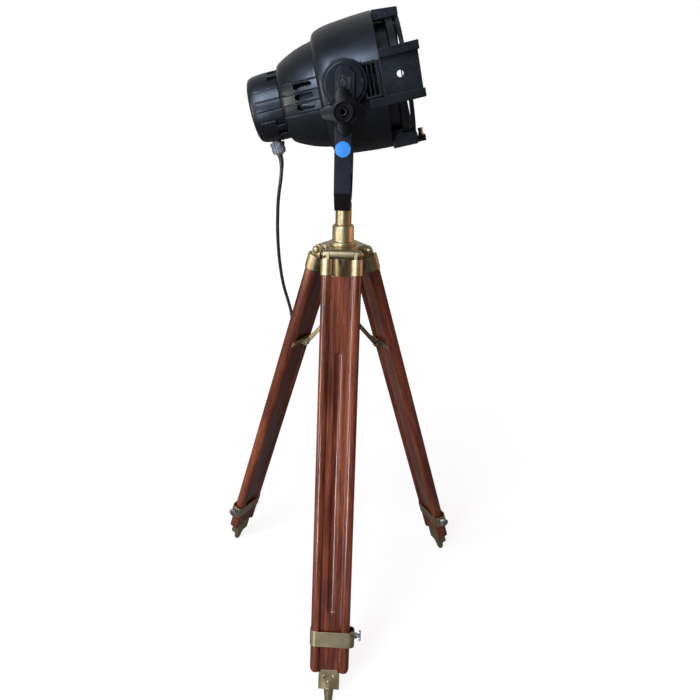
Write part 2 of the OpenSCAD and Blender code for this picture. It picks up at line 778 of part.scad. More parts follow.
module plank() {
    half = rail_pitch / 2 - rail_w / 2 + groove_d - slide_gap;
    flute_r = 9.2;
    color(wood) difference() {
        along_leg(ferrule_s + ferrule_h + 1, leg_len - 36)
            square([plank_d, 2 * half], center = true);
        // Long flute with round ends in the outer face
        for (s = [flute_top_s, flute_end_s]) translate([plank_d / 2 + 5.6, 0, -s]) sphere(r = flute_r);
        translate([plank_d / 2 + 5.6, 0, -flute_end_s])
            cylinder(r = flute_r, h = flute_end_s - flute_top_s);
    }
}

// Shoe of one leg, its spike cut flat by the floor
module foot(az) {
    color(brass) difference() {
        leg_at(az) shoe();
        block([-500, -500, -20], [500, 500, 0]);
    }
}

// Brass shoe on the plank's end, with its three screws and the blunt spike
module shoe() {
    half = rail_pitch / 2 - rail_w / 2 + groove_d + 0.8;
    low = leg_len - 33.5;
    grip = plank_d / 2 + 1.2;
    difference() {
        union() {
            block([-grip, -half, -low], [grip, half, -rail_end_s - slide_gap]);
            for (face = [-1, 1]) scale([face, 1, 1])
                block([plank_d / 2, 1 - rail_pitch / 2 + rail_w / 2, -rail_end_s - 1],
                    [grip, rail_pitch / 2 - rail_w / 2 - 1, 5 - rail_end_s]);
            translate([0, 0, -low]) rotate([180, 0, 0]) rotate_extrude() polygon([
                [0, -1], [10, -1], [10, 2], [9, 6], [7.2, 24], [6.2, 29], [4.6, 32], [3, 33.5], [3, 36], [0, 36]
            ]);
            for (p = [[-9, -rail_end_s - 7], [9, -rail_end_s - 7], [0, -rail_end_s - 18]])
                translate([grip, p[0], p[1]]) rotate([0, 90, 0]) cylinder(r = 2.6, h = 0.9);
        }
        block([-plank_d / 2, -half + 1, -leg_len + 36], [plank_d / 2, half - 1, 0]);
    }
}

module stay_bracket() {
    lug_in = stay_t / 2 + slide_gap;
    face = rail_d / 2;
    color(brass) {
        block([-face - 2, -rail_pitch / 2 - 8, -stay_s - 5], [-face, rail_pitch / 2 + 8, -stay_s + 5]);
        for (side = [-1, 1]) scale([1, side, 1]) {
            translate([-stay_n, 0, -stay_s]) cross_rod(5, lug_in, lug_in + 2.6);
            block([-stay_n, lug_in, -stay_s - 5], [-face - 1, lug_in + 2.6, -stay_s + 5]);
            translate([-face - 3.2, rail_pitch / 2, -stay_s]) rotate([0, 90, 0])
                cylinder(r = 2.6, h = 1.4);
        }
        translate([-stay_n, 0, -stay_s]) cross_rod(stay_pin_r, -lug_in - 3.4, lug_in + 3.4);
    }
}

// Flat arm from a leg's bracket up to the runner
module stay(az) {
    color(brass) on_axis() rotate([0, 0, az]) translate([stay_low_r, 0, stay_low_z])
        rotate([0, stay_slope, 0]) rotate([90, 0, 0]) translate([0, 0, -stay_t / 2])
            linear_extrude(stay_t) difference() {
                union() {
                    circle(r = 5);
                    translate([-stay_len, 0]) circle(r = 9);
                    translate([-stay_len, -4]) square([stay_len, 8]);
                }
                circle(r = stay_pin_r + turn_gap);
                translate([-stay_len, 0]) circle(r = fork_hole_r);
            }
}

module runner() {
    cheek = stay_t / 2 + 0.6;
    color(brass) on_axis() translate([0, 0, fork_z]) difference() {
        union() {
            translate([0, 0, -runner_h / 2]) cylinder(r = 9.5, h = runner_h);
            for (az = [front_az, left_az, right_az], side = [-1, 1]) rotate([0, 0, az])
                scale([1, side, 1]) {
                    block([5, cheek, -5], [fork_r, cheek + 2.4, 5]);
                    translate([fork_r, 0, 0]) cross_rod(5, cheek, cheek + 2.4);
                    translate([fork_r, 0, 0]) cross_rod(fork_pin_r, -0.1, cheek + 3);
                }
        }
        translate([0, 0, -runner_h]) cylinder(r = rod_r + turn_gap, h = 2 * runner_h);
        // Room for the round eyes of the stays
        for (az = [front_az, left_az, right_az]) rotate([0, 0, az])
            translate([fork_r, 0, 0]) difference() {
                cross_rod(9 + 4.5, -cheek, cheek);
                cross_rod(fork_pin_r, -cheek - 1, cheek + 1);
            }
    }
}

// ---------------------------------------------------------------- cable

module cable_upper() {
    color(black) on_axis() tube(cable_path, 0, mid_ring, cable_r, 8, [1, 0, 0]);
}

module cable_mid() {
    color(black) on_axis() tube(cable_path, mid_ring, lower_ring, cable_r, 8, [1, 0, 0]);
}

module cable_lower() {
    color(black) on_axis() tube(cable_path, lower_ring, len(cable_path) - 1, cable_r, 8, [1, 0, 0]);
}

// Radius and height of the hank after q turns: it spirals in, climbs a layer and spirals out
function hank_radius(q) = hank_fold_r + hank_step * abs(q - 1);
function hank_rise(q) = hank_base + hank_layer * min(max(4 * (q - 1), 0), 1);
function hank_pull(y) = hank_waist * pow(cos(90 * y / hank_run), 2);

// A point of the hank after ring i: run, far fold, run back, near fold
function hank_point(i) =
    let (
        q = i / turn_rings, r = hank_radius(q), k = i % turn_rings,
        quarter = floor(4 * k / turn_rings), part = 4 * k / turn_rings - quarter,
        y = hank_run * (2 * part - 1),
        flat = quarter == 0 ? [hank_pull(y) - r, y]
            : quarter == 1 ? [-r * cos(180 * part), hank_run + r * sin(180 * part)]
            : quarter == 2 ? [r - hank_pull(y), -y]
            : [r * cos(180 * part), -hank_run - r * sin(180 * part)]
    )
    [flat[0], flat[1], hank_rise(q)];

hank_path = concat([for (i = [0 : turn_rings * hank_turns]) hank_point(i)], tail_route);

// Least distance between two stretches of the hank that are more than a few rings apart
function stretch_gap(p, i, j) =
    min([for (u = [0, 0.5], v = [0, 0.5])
        norm(p[i] + u * (p[i + 1] - p[i]) - p[j] - v * (p[j + 1] - p[j]))]);
hank_gap = min([for (i = [0 : len(hank_path) - 8], j = [i + 6 : len(hank_path) - 2])
    stretch_gap(hank_path, i, j)]) - cable_d;

module cable_hank() {
    echo(hank_self_gap = hank_gap);
    color(black) on_axis() translate([hank_x, hank_y, 0])
        tube(hank_path, 0, len(hank_path) - 1, cable_r, 6, [0, 0, 1]);
}

module hank_tie() {
    half = 23;
    color(black) on_axis() translate([hank_x, hank_y, 0]) difference() {
        block([-half, -5, 0.1], [half, 5, 15.6]);
        block([1 - half, -6, 1], [half - 1, 6, 14.6]);
    }
}

module plug() {
    z = tail_route[len(tail_route) - 1][2];
    color(black) on_axis() translate([hank_x, hank_y, z]) {
        translate([0, 18.5, 0]) rotate([-90, 0, 0]) cylinder(r1 = 4.2, r2 = 6.2, h = 12);
        block([-15, 30, -6.6], [15, 58, 6.6]);
        for (side = [-1, 1]) translate([side * 9.3, 58, 0])
            rotate([-90, 0, 0]) cylinder(r = 2, h = 17);
    }
}

hub();
column_socket();
centre_rod();
yoke();
spigot();
yoke_bolt();
round_label();
hood();
body_shell();
rear_cap();
inner_sleeve();
front_ring();
top_block();
lens();
lens_clamp();
reflector();
lamp();
lamp_holder();
bracket_near();
bracket_far();
pivot_screws();
front_catch();
gland();
tilt_knob();
catch_plunger();
runner();
leg_at(front_az) ferrules();  // ferrules_front
leg_at(left_az) ferrules();  // ferrules_left
leg_at(right_az) ferrules();  // ferrules_right
leg_at(front_az) rails();  // rails_front
leg_at(left_az) rails();  // rails_left
leg_at(right_az) rails();  // rails_right
leg_at(front_az) collar(1);  // collar_front
leg_at(left_az) collar(1);  // collar_left
leg_at(right_az) collar(-1);  // collar_right
leg_at(front_az) hinge_bolt();  // hinge_bolt_front
leg_at(left_az) hinge_bolt();  // hinge_bolt_left
leg_at(right_az) hinge_bolt();  // hinge_bolt_right
leg_at(front_az) stay_bracket();  // stay_bracket_front
leg_at(left_az) stay_bracket();  // stay_bracket_left
leg_at(right_az) stay_bracket();  // stay_bracket_right
leg_at(front_az) plank();  // plank_front
leg_at(left_az) plank();  // plank_left
leg_at(right_az) plank();  // plank_right
foot(front_az);  // shoe_front
foot(left_az);  // shoe_left
foot(right_az);  // shoe_right
leg_at(front_az) thumbscrew(1);  // thumbscrew_front
leg_at(left_az) thumbscrew(1);  // thumbscrew_left
leg_at(right_az) thumbscrew(-1);  // thumbscrew_right
stay(front_az);  // stay_front
stay(left_az);  // stay_left
stay(right_az);  // stay_right
cable_upper();
cable_mid();
cable_lower();
cable_hank();
hank_tie();
plug();
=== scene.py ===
"""Tripod spotlight floor lamp: the looks of its pieces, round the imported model.

Lengths are metres, and profiles of turned and moulded pieces are lists of millimetres."""
import json
import math

import bmesh
import bpy
import numpy as np
from mathutils import Matrix, Vector


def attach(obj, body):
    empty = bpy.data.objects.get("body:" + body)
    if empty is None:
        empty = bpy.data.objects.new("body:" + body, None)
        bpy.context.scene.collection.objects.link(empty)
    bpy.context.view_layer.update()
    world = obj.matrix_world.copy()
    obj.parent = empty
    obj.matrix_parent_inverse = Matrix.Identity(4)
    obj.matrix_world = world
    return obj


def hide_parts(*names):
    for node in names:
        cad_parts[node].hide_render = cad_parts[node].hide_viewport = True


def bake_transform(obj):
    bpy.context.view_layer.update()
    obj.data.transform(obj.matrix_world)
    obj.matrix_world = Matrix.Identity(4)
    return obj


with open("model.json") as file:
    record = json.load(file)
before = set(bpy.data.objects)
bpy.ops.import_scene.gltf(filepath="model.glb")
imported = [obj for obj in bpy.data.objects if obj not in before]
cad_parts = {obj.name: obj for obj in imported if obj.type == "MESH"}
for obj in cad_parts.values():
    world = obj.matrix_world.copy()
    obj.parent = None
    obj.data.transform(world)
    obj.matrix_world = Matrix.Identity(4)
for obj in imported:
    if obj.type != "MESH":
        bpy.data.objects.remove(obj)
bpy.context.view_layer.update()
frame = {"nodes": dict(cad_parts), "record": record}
record = frame["record"]
BODY = {node: body for body, nodes in record["behaviour"]["bodies"].items() for node in nodes}
SLOT = {entry["node"]: entry["material_slot"] for entry in record["subparts"]}

# ------------------------------------------------------------------ the lamp's own frames
AXIS_Y = 0.065  # the tripod's axis, behind the origin
PIVOT_Z = 1.05433  # height of the tilt axis
TILT = math.radians(13.2)  # how far the lantern looks up
LEG = math.radians(18.3)  # how far the legs lean out
HINGE_R = 0.038  # from the tripod's axis to the legs' hinges
LEG_LEN = 0.822
HINGE_Z = LEG_LEN * math.cos(LEG)
AZIMUTHS = {"front": -90.0, "left": 150.0, "right": 30.0}
AXIS_DROP = -0.0075  # the lantern's own axis, under the tilt axis
STRAP_FACE = -0.119  # outer face of the yoke's near strap, from the tripod's axis
KNOB_DROP = 0.039  # the tilt knob's axis, under the tilt axis
LABEL_Z = 0.96193  # the round label's middle
GLAND_X = -0.134  # the cable gland's place along the lantern
THUMB_UP = -0.689  # the thumbscrews' place along the leg, from its hinge


def in_row(p):
    """Tripod frame to row frame: moved back by the axis' distance."""
    return np.asarray(p, float) + [0, AXIS_Y, 0]


def in_lantern(p):
    """Lantern frame to row frame: turned by the tilt about Y, then moved to the tilt axis."""
    p = np.asarray(p, float)
    x = p[..., 0] * math.cos(TILT) - p[..., 2] * math.sin(TILT)
    z = p[..., 0] * math.sin(TILT) + p[..., 2] * math.cos(TILT)
    return np.stack([x, p[..., 1] + AXIS_Y, z + PIVOT_Z], -1)


def in_leg(side):
    """Leg frame (out, across, up the leg) to row frame: leaned by the leg angle, moved to the
    hinge, then turned to the leg's side."""
    a = math.radians(AZIMUTHS[side])

    def place(p):
        p = np.asarray(p, float)
        r = HINGE_R + p[..., 0] * math.cos(LEG) - p[..., 2] * math.sin(LEG)
        z = HINGE_Z + p[..., 0] * math.sin(LEG) + p[..., 2] * math.cos(LEG)
        x = r * math.cos(a) - p[..., 1] * math.sin(a)
        y = r * math.sin(a) + p[..., 1] * math.cos(a)
        return np.stack([x, y + AXIS_Y, z], -1)
    return place


# ------------------------------------------------------------------ camera
PHOTO = 700  # width and height of the photograph, in pixels
FOCAL = 615.2  # focal length, in pixels
OPTICAL_CENTRE = (324.317, 347.266)  # the pixel on the camera's axis
SENSOR = 36  # millimetres
CAMERA_AT = (0.03037, AXIS_Y - 1.09541, 1.03854)
FORWARD = (-0.052, 0.92354, -0.37995)
ROLL = 0.01167  # radians


def make_camera():
    """The photograph's camera: 1.1 m in front of the tripod's axis, 22 degrees down, 32 mm lens,
    rolled a little."""
    forward = np.array(FORWARD)
    forward /= np.linalg.norm(forward)
    right = np.cross(forward, [0, 0, 1])
    right /= np.linalg.norm(right)
    up = np.cross(right, forward)
    c, s = math.cos(ROLL), math.sin(ROLL)
    right, up = c * right + s * up, c * up - s * right
    data = bpy.data.cameras.new("camera")
    data.lens = FOCAL / PHOTO * SENSOR
    data.sensor_width = SENSOR
    data.shift_x = (PHOTO / 2 - OPTICAL_CENTRE[0]) / PHOTO
    data.shift_y = (OPTICAL_CENTRE[1] - PHOTO / 2) / PHOTO
    data.clip_start, data.clip_end = 0.01, 50
    camera = bpy.data.objects.new("camera", data)
    m = np.eye(4)
    m[:3, 0], m[:3, 1], m[:3, 2] = right, up, -forward
    m[:3, 3] = CAMERA_AT
    camera.matrix_world = Matrix(m.tolist())
    bpy.context.scene.collection.objects.link(camera)
    bpy.context.scene.camera = camera


make_camera()

# ------------------------------------------------------------------ material tools


def linear(code):
    """An sRGB hex value as linear red, green, blue and 1."""
    v = np.array([int(code[i:i + 2], 16) for i in (1, 3, 5)]) / 255
    return tuple(np.where(v <= 0.04045, v / 12.92, ((v + 0.055) / 1.055) ** 2.4)) + (1.0,)


def add(tree, kind, links=(), **settings):
    """One node, its settings by attribute or socket name, and its links (socket, from, output)."""
    node = tree.nodes.new(kind)
    for key, value in settings.items():
        if hasattr(node, key):
            setattr(node, key, value)
        else:
            node.inputs[key.replace("_", " ")].default_value = value
    for socket, source, output in links:
        tree.links.new(source.outputs[output], node.inputs[socket])
    return node


def start(name, **shader):
    """A material with its Principled shader; shader settings are socket names with _ for spaces."""
    mat = bpy.data.materials.new(name)
    mat.use_nodes = True
    tree = mat.node_tree
    tree.nodes.clear()
    out = add(tree, "ShaderNodeOutputMaterial")
    bsdf = add(tree, "ShaderNodeBsdfPrincipled")
    for key, value in shader.items():
        bsdf.inputs[key.replace("_", " ")].default_value = value
    tree.links.new(bsdf.outputs[0], out.inputs[0])
    return mat, tree, bsdf


def noise(tree, where, grain_mm, detail, rough=0.55, distort=0.0):
    """Noise whose coarsest grain is this many millimetres."""
    return add(tree, "ShaderNodeTexNoise", [("Vector", where, 0)], Scale=1000 / grain_mm, Detail=detail,
               Roughness=rough, Distortion=distort)


def ramp(tree, source, stops):
    """A colour ramp on a value: stops are (position, hex)."""
    node = add(tree, "ShaderNodeValToRGB", [("Fac", source, 0)])
    band = node.color_ramp
    while len(band.elements) < len(stops):
        band.elements.new(0.5)
    for element, (at, code) in zip(band.elements, stops):
        element.position, element.color = at, linear(code)
    return node


def spread(tree, source, low, high, from_low=0.35, from_high=0.65):
    """A value taken from one range to another, and clamped."""
    return add(tree, "ShaderNodeMapRange", [("Value", source, 0)], From_Min=from_low, From_Max=from_high,
               To_Min=low, To_Max=high)


def result(node):
    """A node's colour output, which is the third one on a Mix node."""
    return node.outputs[2 if node.bl_idname == "ShaderNodeMix" else 0]


def blend_colour(tree, factor, a, b, mode="MIX"):
    """Colour a changed into colour b by a factor; a and b are nodes or hex values."""
    node = add(tree, "ShaderNodeMix", data_type="RGBA", blend_type=mode)
    tree.links.new(factor.outputs[0], node.inputs[0])
    for socket, colour in ((6, a), (7, b)):
        if isinstance(colour, str):
            node.inputs[socket].default_value = linear(colour)
        else:
            tree.links.new(result(colour), node.inputs[socket])
    return node


def finish(tree, bsdf, colour, rough, height, strength, distance_mm):
    """Links colour, roughness and a bump of the given depth to the shader."""
    tree.links.new(result(colour), bsdf.inputs["Base Color"])
    tree.links.new(rough.outputs[0], bsdf.inputs["Roughness"])
    bump = add(tree, "ShaderNodeBump", [("Height", height, 0)], Strength=strength,
               Distance=distance_mm / 1000)
    tree.links.new(bump.outputs[0], bsdf.inputs["Normal"])


def object_place(tree):
    """Object coordinates in metres."""
    where = add(tree, "ShaderNodeTexCoord")
    return add(tree, "ShaderNodeMapping", [("Vector", where, "Object")])


# ------------------------------------------------------------------ materials


def stove_enamel(name, low, high, rough, peel_mm, depth, **shader):
    """Black stove enamel sprayed on steel and die castings: a soft sheen broken by orange peel, a
    little grey dust in the hollows of a coarse noise and fine lighter specks."""
    mat, tree, bsdf = start(name, **shader)
    where = object_place(tree)
    peel = noise(tree, where, peel_mm, 2.0)
    cloud = noise(tree, where, 45, 4.0, 0.6)
    speck = noise(tree, where, 2.2, 1.0)
    dust = spread(tree, speck, 0.0, 0.55, 0.66, 0.74)
    body = ramp(tree, cloud, [(0.3, low), (0.7, high)])
    colour = blend_colour(tree, dust, body, "#3a3d40")
    finish(tree, bsdf, colour, spread(tree, cloud, rough * 0.85, rough * 1.2), peel, depth, 0.25)
    return mat


def antique_brass():
    """Cast brass, satin brushed and toned: olive gold with darker tarnish in patches, and fine
    scratches that make the sheen soft."""
    mat, tree, bsdf = start("brass_antique_satin", Metallic=1.0, Coat_Weight=0.25, Coat_Roughness=0.2)
    where = object_place(tree)
    cloud = noise(tree, where, 22, 5.0, 0.65)
    fine = noise(tree, where, 0.9, 3.0)
    stretched = add(tree, "ShaderNodeMapping", [("Vector", where, 0)], Scale=(1.0, 1.0, 0.06))
    scratch = noise(tree, stretched, 1.1, 2.0)
    tone = ramp(tree, cloud, [(0.3, "#908465"), (0.5, "#a29672"), (0.72, "#b0a583")])
    spots = spread(tree, fine, 0.0, 0.3, 0.58, 0.74)
    colour = blend_colour(tree, spots, tone, "#6e6248")
    finish(tree, bsdf, colour, spread(tree, scratch, 0.36, 0.52), fine, 0.06, 0.1)
    return mat


def lacquered_wood(name, turn, shift):
    """Stained rosewood, planed along the grain and lacquered: red-brown with dark streaks and short
    open pores that run down the leg, under a thin glossy coat. turn and shift are the leg's own frame,
    since the grain is drawn out along its Z."""
    mat, tree, bsdf = start(name, Coat_Weight=0.7, Coat_Roughness=0.16, IOR=1.4,
                            Specular_IOR_Level=0.2)
    place = add(tree, "ShaderNodeTexCoord")
    along = add(tree, "ShaderNodeMapping", [("Vector", place, "Object")], vector_type="TEXTURE")
    along.inputs["Location"].default_value = shift
    along.inputs["Rotation"].default_value = turn
    streak_place = add(tree, "ShaderNodeMapping", [("Vector", along, 0)], Scale=(1.0, 1.0, 0.045))
    figure_place = add(tree, "ShaderNodeMapping", [("Vector", along, 0)], Scale=(1.0, 1.0, 0.12))
    pore_place = add(tree, "ShaderNodeMapping", [("Vector", along, 0)], Scale=(1.0, 1.0, 0.09))
    streak = noise(tree, streak_place, 3.2, 5.0, 0.6, 0.2)
    figure = noise(tree, figure_place, 26, 3.0, 0.5, 0.6)
    pore = noise(tree, pore_place, 0.9, 2.0, 0.6)
    grain = ramp(tree, streak, [(0.3, "#592a18"), (0.46, "#73391f"), (0.58, "#84452c"),
                                (0.74, "#9c5c3e")])
    band = ramp(tree, figure, [(0.35, "#8a6a60"), (0.65, "#ffffff")])
    tone = blend_colour(tree, spread(tree, pore, 0.7, 0.95), grain, band, "MULTIPLY")
    dark = spread(tree, pore, 0.0, 0.75, 0.56, 0.7)
    colour = blend_colour(tree, dark, tone, "#2c120d")
    finish(tree, bsdf, colour, spread(tree, streak, 0.3, 0.46), pore, 0.25, 0.15)
    return mat


def metal(name, low, high, rough, grain_mm, depth, **shader):
    """Plain metal: two close tones in patches, roughness that follows them and a fine grain."""
    mat, tree, bsdf = start(name, Metallic=1.0, **shader)
    where = object_place(tree)
    cloud = noise(tree, where, 9, 4.0)
    grain = noise(tree, where, grain_mm, 3.0)
    finish(tree, bsdf, ramp(tree, cloud, [(0.32, low), (0.68, high)]),
           spread(tree, cloud, rough * 0.8, rough * 1.25), grain, depth, 0.1)
    return mat


def moulding(name, low, high, rough, grain_mm, depth, **shader):
    """Moulded or extruded plastic, glass or glaze: a slight mottle, and the mould's fine grain."""
    mat, tree, bsdf = start(name, **shader)
    where = object_place(tree)
    cloud = noise(tree, where, 14, 3.0)
    grain = noise(tree, where, grain_mm, 2.0)
    finish(tree, bsdf, ramp(tree, cloud, [(0.3, low), (0.7, high)]),
           spread(tree, cloud, rough * 0.85, rough * 1.2), grain, depth, 0.12)
    return mat


FINISH = {
    "brass": antique_brass(),
    # both enamels get a bluish Specular_Tint: a painted reflection colour that gives their sheen the cool
    # tone of window light
    "black_paint": stove_enamel("steel_stove_enamel_black", "#050608", "#0a0b0e", 0.34, 1.6, 0.14,
                                IOR=1.46, Specular_Tint=(0.78, 0.88, 1.0, 1.0)),
    "yoke_paint": stove_enamel("steel_powder_coat_satin", "#08090d", "#0e1016", 0.4, 1.1, 0.14,
                               IOR=1.4, Specular_Tint=(0.8, 0.88, 1.0, 1.0)),
    # zinc flashed steel: bluish grey, slightly cloudy
    "steel": metal("steel_zinc_plated", "#8f9396", "#b4b7b9", 0.3, 0.5, 0.1),
    # oiled steel that has darkened
    "dark_steel": metal("steel_blackened", "#2b2b2d", "#474749", 0.38, 0.5, 0.12),
    # printed vinyl disc: even blue with a soft satin face
    "label": moulding("vinyl_label_blue", "#2277c2", "#2f86d0", 0.4, 0.6, 0.03),
    # pressed borosilicate lens: clear, with a little ripple from the mould
    "glass": moulding("glass_pressed_clear", "#eef4f5", "#ffffff", 0.03, 9.0, 0.02, IOR=1.47,
                      Transmission_Weight=1.0),
    # spun aluminium, brightened: soft mirror
    "reflector": metal("aluminium_spun_bright", "#c9cacb", "#dcdddd", 0.16, 0.6, 0.04),
    # steatite lamp base, glazed off-white
    "ceramic": moulding("steatite_glazed", "#d8d4c8", "#e6e2d8", 0.25, 1.0, 0.05),
    # phenolic resin: black with a dull gloss
    "knob": moulding("phenolic_moulded_black", "#050506", "#0a0a0b", 0.34, 0.9, 0.05, IOR=1.25),
    # grey polyamide gland
    "gland": moulding("polyamide_moulded_grey", "#5c6069", "#70757e", 0.42, 0.6, 0.12),
    # flexible PVC sheath, slightly dusty
    "cable": moulding("pvc_sheath_black", "#121214", "#1d1d20", 0.4, 0.7, 0.1),
}
WOOD = {side: lacquered_wood("rosewood_lacquered_" + side, (0.0, -LEG, math.radians(a)),
                             tuple(in_leg(side)([0.0, 0.0, 0.0]))) for side, a in AZIMUTHS.items()}


def material_of(node):
    """The finish of a CAD node, with the grain along its own leg on wood."""
    if SLOT[node] == "wood":
        return WOOD[node.rsplit("_", 1)[1]]
    return FINISH[SLOT[node]]


for node_name in SLOT:
    node = frame["nodes"][node_name]
    node.data.materials.clear()
    node.data.materials.append(material_of(node_name))

# ------------------------------------------------------------------ mesh tools


def grid_faces(rows, cols, wrap_rows=False, wrap_cols=False):
    """Quads of a rows by cols grid, joined round where wrapped."""
    i, j = np.meshgrid(np.arange(rows - (not wrap_rows)), np.arange(cols - (not wrap_cols)), indexing="ij")
    a = i * cols + j
    b = i * cols + (j + 1) % cols
    c = (i + 1) % rows * cols + (j + 1) % cols
    d = (i + 1) % rows * cols + j
    return np.stack([a, b, c, d], -1).reshape(-1, 4)


def closed_rings(rings):
    """Points and faces of a closed surface through rings of points: quads between the rings, and a
    fan of the first and last ring's own points at each end."""
    rings = np.asarray(rings)
    rows, cols = rings.shape[:2]
    faces = [tuple(f) for f in grid_faces(rows, cols, False, True)]
    faces += [tuple(range(cols))[::-1], tuple(range((rows - 1) * cols, rows * cols))]
    return rings.reshape(-1, 3), faces


def joined(parts):
    """Several (points, faces) as one."""
    points, faces, first = [], [], 0
    for p, f in parts:
        points.append(np.asarray(p).reshape(-1, 3))
        faces += [tuple(int(i) + first for i in face) for face in f]
        first += len(points[-1])
    return np.vstack(points), faces


CREASE = math.radians(35)  # a made piece shades smooth except at edges sharper than this


def piece(name, points, faces, material, body=None):
    """A mesh object with its faces turned outwards, riding on a body where one is given."""
    mesh = bpy.data.meshes.new(name)
    mesh.from_pydata([tuple(p) for p in np.asarray(points)], [], [tuple(int(i) for i in f) for f in faces])
    bm = bmesh.new()
    bm.from_mesh(mesh)
    bmesh.ops.recalc_face_normals(bm, faces=bm.faces)
    for edge in bm.edges:
        edge.smooth = len(edge.link_faces) < 2 or edge.calc_face_angle(0) < CREASE
    bm.to_mesh(mesh)
    bm.free()
    mesh.polygons.foreach_set("use_smooth", [True] * len(mesh.polygons))
    mesh.materials.append(material)
    obj = bpy.data.objects.new(name, mesh)
    bpy.context.scene.collection.objects.link(obj)
    if body:
        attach(obj, body)
    return obj


def stand_in(obj, node):
    """obj takes a CAD node's place."""
    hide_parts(node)
    return obj


SHARP = math.radians(34)  # an edge sharper than this is rounded
SPIKE = math.radians(7)  # but not one that leaves a corner this close to another edge


def eased(node_name, width_mm):
    """A merged copy of a CAD node whose sharp edges get a small radius; it stands for the node."""
    mesh = frame["nodes"][node_name].data.copy()
    mesh.name = node_name + "_eased"
    bm = bmesh.new()
    bm.from_mesh(mesh)
    bmesh.ops.remove_doubles(bm, verts=bm.verts, dist=2e-6)
    bmesh.ops.dissolve_limit(bm, angle_limit=math.radians(0.5), verts=bm.verts, edges=bm.edges)
    for edge in bm.edges:
        edge.smooth = edge.calc_face_angle(0) < SHARP
    rounded = bm.edges.layers.float.new("bevel_weight_edge")
    for edge in bm.edges:
        edge[rounded] = float(not edge.smooth and not any(
            (edge.other_vert(v).co - v.co).angle(other.other_vert(v).co - v.co, 1.0) < SPIKE
            for v in edge.verts for other in v.link_edges if other != edge))
    bm.to_mesh(mesh)
    bm.free()
    mesh.polygons.foreach_set("use_smooth", [True] * len(mesh.polygons))
    obj = bpy.data.objects.new(mesh.name, mesh)
    bpy.context.scene.collection.objects.link(obj)
    bevel = obj.modifiers.new("edge", "BEVEL")
    bevel.width = width_mm / 1000
    bevel.segments = 2
    bevel.limit_method = "WEIGHT"
    bevel.use_clamp_overlap = False
    bevel.harden_normals = True
    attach(obj, BODY[node_name])
    return stand_in(obj, node_name)


def curve_points(p, steps):
    """Catmull-Rom curve through the points, with this many steps between two of them."""
    p = np.asarray(p, float)
    q = np.vstack([p[:1], p, p[-1:]])
    u = (np.arange(steps) / steps)[None, :, None]
    a, b, c, d = q[:-3, None], q[1:-2, None], q[2:-1, None], q[3:, None]
    s = 0.5 * (2 * b + (c - a) * u + (2 * a - 5 * b + 4 * c - d) * u ** 2
               + (3 * b - a - 3 * c + d) * u ** 3)
    return np.vstack([s.reshape(-1, p.shape[1]), p[-1:]])


def tube_rings(path, radius, sides, ref):
    """Rings round each point of the path, square to its tangent; radius is one value or a list, and
    ref a direction that the path never takes."""
    path = np.asarray(path)
    t = np.empty_like(path)
    t[1:-1] = path[2:] - path[:-2]
    t[0], t[-1] = path[1] - path[0], path[-1] - path[-2]
    t /= np.linalg.norm(t, axis=1)[:, None]
    a = np.cross(ref, t)
    a /= np.linalg.norm(a, axis=1)[:, None]
    b = np.cross(t, a)
    k = (np.arange(sides) * 2 * math.pi / sides)[None, :, None]
    r = np.broadcast_to(radius, len(path))[:, None, None]
    return path[:, None] + r * (np.cos(k) * a[:, None] + np.sin(k) * b[:, None])


def turned(profile, sides, shape=None):
    """Rings of a turned form about Z: profile is a list of (radius, height) in millimetres, and shape,
    if given, changes the radii by row and angle."""
    profile = np.asarray(profile, float) / 1000
    angle = np.arange(sides) * 2 * math.pi / sides
    r = np.repeat(profile[:, :1], sides, 1)
    if shape:
        r = shape(r, angle)
    return np.stack([r * np.cos(angle), r * np.sin(angle), np.repeat(profile[:, 1:], sides, 1)], -1)


def along(axis, centre, rings):
    """Rings about Z moved so that Z points along x, -x, y, -y, z or -z from the centre."""
    rings = np.asarray(rings)
    x, y, z = rings[..., 0], rings[..., 1], rings[..., 2]
    moved = {"x": (z, x, y), "-x": (-z, x, -y), "y": (x, z, -y), "-y": (x, -z, y),
             "z": (x, y, z), "-z": (x, -y, -z)}[axis]
    return np.stack(moved, -1) + np.asarray(centre, float)


def slotted_head(radius, rise, slot_w, slot_deep, turn):
    """A domed screw head about Z, in millimetres: the dome is the square root of one less the
    distance squared, and a straight slot is pressed into it. Returns points and faces."""
    n = 22  # points from side to side
    u, v = np.meshgrid(np.linspace(-1, 1, n), np.linspace(-1, 1, n), indexing="ij")
    x, y = u * np.sqrt(1 - v ** 2 / 2), v * np.sqrt(1 - u ** 2 / 2)
    rho = np.minimum(np.hypot(x, y), 1)
    z = rise * (0.35 + 0.65 * np.sqrt(1 - rho ** 2 * 0.92))
    across = np.abs(x * math.cos(turn) + y * math.sin(turn)) * radius
    z -= slot_deep * np.clip(1.4 - across / slot_w * 2, 0, 1)
    top = np.stack([x * radius, y * radius, z], -1)
    rim = np.concatenate([top[0, :-1], top[:-1, -1], top[-1, :0:-1], top[:0:-1, 0]])
    base = rim.copy()
    base[:, 2] = -0.3
    points = np.vstack([top.reshape(-1, 3), base]) / 1000
    index = np.arange(n * n).reshape(n, n)
    edge = np.concatenate([index[0, :-1], index[:-1, -1], index[-1, :0:-1], index[:0:-1, 0]])
    k = np.arange(len(edge))
    skirt = np.stack([edge, edge[(k + 1) % len(edge)], n * n + (k + 1) % len(edge), n * n + k], -1)
    faces = [tuple(f) for f in grid_faces(n, n)] + [tuple(f) for f in skirt]
    return points, faces + [tuple(range(n * n, n * n + len(edge)))[::-1]]


# ------------------------------------------------------------------ cord
CORD_D = 0.0062
